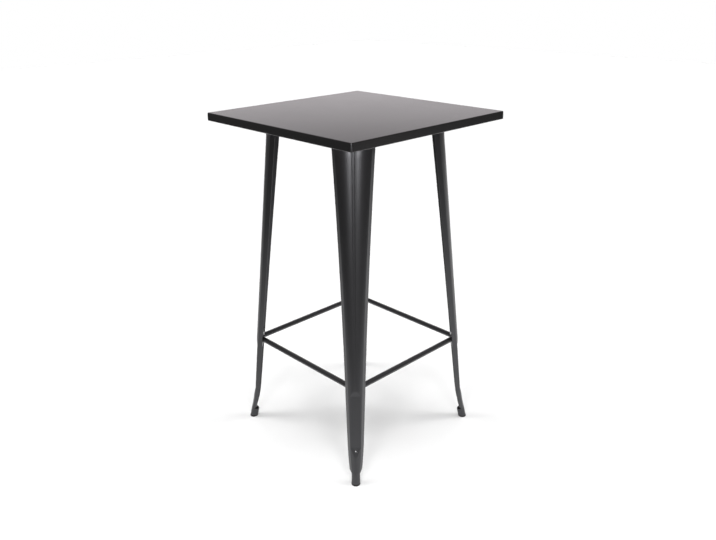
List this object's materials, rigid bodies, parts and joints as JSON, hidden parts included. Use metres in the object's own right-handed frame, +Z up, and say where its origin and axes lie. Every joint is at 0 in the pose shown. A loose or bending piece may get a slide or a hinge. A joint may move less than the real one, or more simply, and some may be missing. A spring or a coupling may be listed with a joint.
{
  "type": "pub table",
  "caption": "Tall square pub table: folded steel top on splayed pressed-steel legs that taper to rubber feet, with round footrest rails low down between the legs.",
  "frame": {"origin": "on the floor under the middle of the top", "axes": "+Z up, +X and +Y along the sides of the square top, front towards -Y"},
  "size_m": [0.6, 0.6, 1.024],
  "materials": {
    "powder_coat_top": "satin black powder coat, very fine texture",
    "powder_coat_frame": "satin black powder coat over pressed sheet steel",
    "core_board": "dark sealed fibreboard",
    "foot_rubber": "matt black moulded rubber",
    "zinc_fasteners": "bright zinc plated"
  },
  "bodies": {
    "root": {"tabletop_pan": "powder_coat_top", "core_board": "core_board", "leg_front_right": "powder_coat_frame", "leg_top_plate_front_right": "powder_coat_frame", "leg_bracket_front_right": "powder_coat_frame", "footrest_corner_plate_front_right": "powder_coat_frame", "foot_plug_front_right": "foot_rubber", "leg_back_right": "powder_coat_frame", "leg_top_plate_back_right": "powder_coat_frame", "leg_bracket_back_right": "powder_coat_frame", "footrest_corner_plate_back_right": "powder_coat_frame", "foot_plug_back_right": "foot_rubber", "leg_back_left": "powder_coat_frame", "leg_top_plate_back_left": "powder_coat_frame", "leg_bracket_back_left": "powder_coat_frame", "footrest_corner_plate_back_left": "powder_coat_frame", "foot_plug_back_left": "foot_rubber", "leg_front_left": "powder_coat_frame", "leg_top_plate_front_left": "powder_coat_frame", "leg_bracket_front_left": "powder_coat_frame", "footrest_corner_plate_front_left": "powder_coat_frame", "foot_plug_front_left": "foot_rubber", "footrest_rail_front": "powder_coat_frame", "footrest_rail_right": "powder_coat_frame", "footrest_rail_back": "powder_coat_frame", "footrest_rail_left": "powder_coat_frame", "threaded_inserts": "zinc_fasteners", "top_bolts": "zinc_fasteners", "top_washers": "zinc_fasteners", "footrest_bolts": "zinc_fasteners", "footrest_washers": "zinc_fasteners", "footrest_nuts": "zinc_fasteners"}
  },
  "joints": []
}
